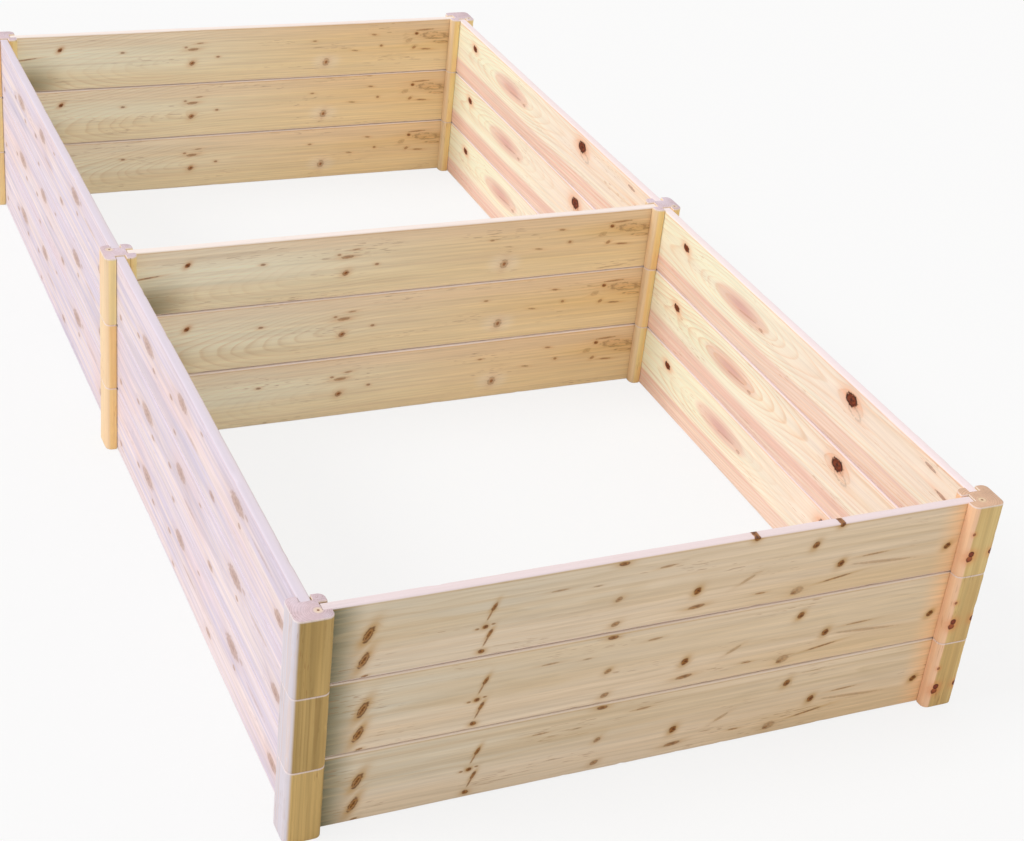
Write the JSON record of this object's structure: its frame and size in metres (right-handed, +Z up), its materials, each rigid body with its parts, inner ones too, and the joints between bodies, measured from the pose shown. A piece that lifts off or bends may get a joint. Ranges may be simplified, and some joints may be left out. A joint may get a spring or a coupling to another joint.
{
  "type": "raised garden bed",
  "caption": "Open-bottomed timber planter with square bays in line, built from short grooved posts and slide-in boards in stacked tiers.",
  "frame": {"origin": "on the ground, at the middle of the bed's footprint", "axes": "+X across the bed to the right, +Y from the front end to the back end, +Z up"},
  "size_m": [1.227, 2.392, 0.42],
  "materials": {
    "board_wood": "planed softwood, untreated, with knots",
    "post_wood": "planed softwood, untreated, rounded corners",
    "dowel_wood": "plain turned hardwood"
  },
  "bodies": {
    "bottom_tier": {"bottom_front_left_post": "post_wood", "bottom_front_right_post": "post_wood", "bottom_centre_left_post": "post_wood", "bottom_centre_right_post": "post_wood", "bottom_back_left_post": "post_wood", "bottom_back_right_post": "post_wood", "bottom_front_board": "board_wood", "bottom_divider_board": "board_wood", "bottom_back_board": "board_wood", "bottom_front_bay_left_board": "board_wood", "bottom_back_bay_left_board": "board_wood", "bottom_front_bay_right_board": "board_wood", "bottom_back_bay_right_board": "board_wood", "lower_front_left_dowel": "dowel_wood", "lower_front_right_dowel": "dowel_wood", "lower_centre_left_dowel": "dowel_wood", "lower_centre_right_dowel": "dowel_wood", "lower_back_left_dowel": "dowel_wood", "lower_back_right_dowel": "dowel_wood"},
    "middle_tier": {"middle_front_left_post": "post_wood", "middle_front_right_post": "post_wood", "middle_centre_left_post": "post_wood", "middle_centre_right_post": "post_wood", "middle_back_left_post": "post_wood", "middle_back_right_post": "post_wood", "middle_front_board": "board_wood", "middle_divider_board": "board_wood", "middle_back_board": "board_wood", "middle_front_bay_left_board": "board_wood", "middle_back_bay_left_board": "board_wood", "middle_front_bay_right_board": "board_wood", "middle_back_bay_right_board": "board_wood", "upper_front_left_dowel": "dowel_wood", "upper_front_right_dowel": "dowel_wood", "upper_centre_left_dowel": "dowel_wood", "upper_centre_right_dowel": "dowel_wood", "upper_back_left_dowel": "dowel_wood", "upper_back_right_dowel": "dowel_wood"},
    "top_tier": {"top_front_left_post": "post_wood", "top_front_right_post": "post_wood", "top_centre_left_post": "post_wood", "top_centre_right_post": "post_wood", "top_back_left_post": "post_wood", "top_back_right_post": "post_wood"},
    "front_board_of_top_tier": {"top_front_board": "board_wood"},
    "divider_board_of_top_tier": {"top_divider_board": "board_wood"},
    "back_board_of_top_tier": {"top_back_board": "board_wood"},
    "front_bay_left_board_of_top_tier": {"top_front_bay_left_board": "board_wood"},
    "back_bay_left_board_of_top_tier": {"top_back_bay_left_board": "board_wood"},
    "front_bay_right_board_of_top_tier": {"top_front_bay_right_board": "board_wood"},
    "back_bay_right_board_of_top_tier": {"top_back_bay_right_board": "board_wood"}
  },
  "joints": [
    {"name": "middle_tier_lift", "type": "slide", "parent": "bottom_tier", "child": "middle_tier", "axis": [0, 0, 1], "range_m": [0, 0.15]},
    {"name": "top_tier_lift", "type": "slide", "parent": "middle_tier", "child": "top_tier", "axis": [0, 0, 1], "range_m": [0, 0.15]},
    {"name": "top_front_board_lift", "type": "slide", "parent": "top_tier", "child": "front_board_of_top_tier", "axis": [0, 0, 1], "range_m": [0, 0.14]},
    {"name": "top_divider_board_lift", "type": "slide", "parent": "top_tier", "child": "divider_board_of_top_tier", "axis": [0, 0, 1], "range_m": [0, 0.14]},
    {"name": "top_back_board_lift", "type": "slide", "parent": "top_tier", "child": "back_board_of_top_tier", "axis": [0, 0, 1], "range_m": [0, 0.14]},
    {"name": "top_front_bay_left_board_lift", "type": "slide", "parent": "top_tier", "child": "front_bay_left_board_of_top_tier", "axis": [0, 0, 1], "range_m": [0, 0.14]},
    {"name": "top_back_bay_left_board_lift", "type": "slide", "parent": "top_tier", "child": "back_bay_left_board_of_top_tier", "axis": [0, 0, 1], "range_m": [0, 0.14]},
    {"name": "top_front_bay_right_board_lift", "type": "slide", "parent": "top_tier", "child": "front_bay_right_board_of_top_tier", "axis": [0, 0, 1], "range_m": [0, 0.14]},
    {"name": "top_back_bay_right_board_lift", "type": "slide", "parent": "top_tier", "child": "back_bay_right_board_of_top_tier", "axis": [0, 0, 1], "range_m": [0, 0.14]}
  ]
}
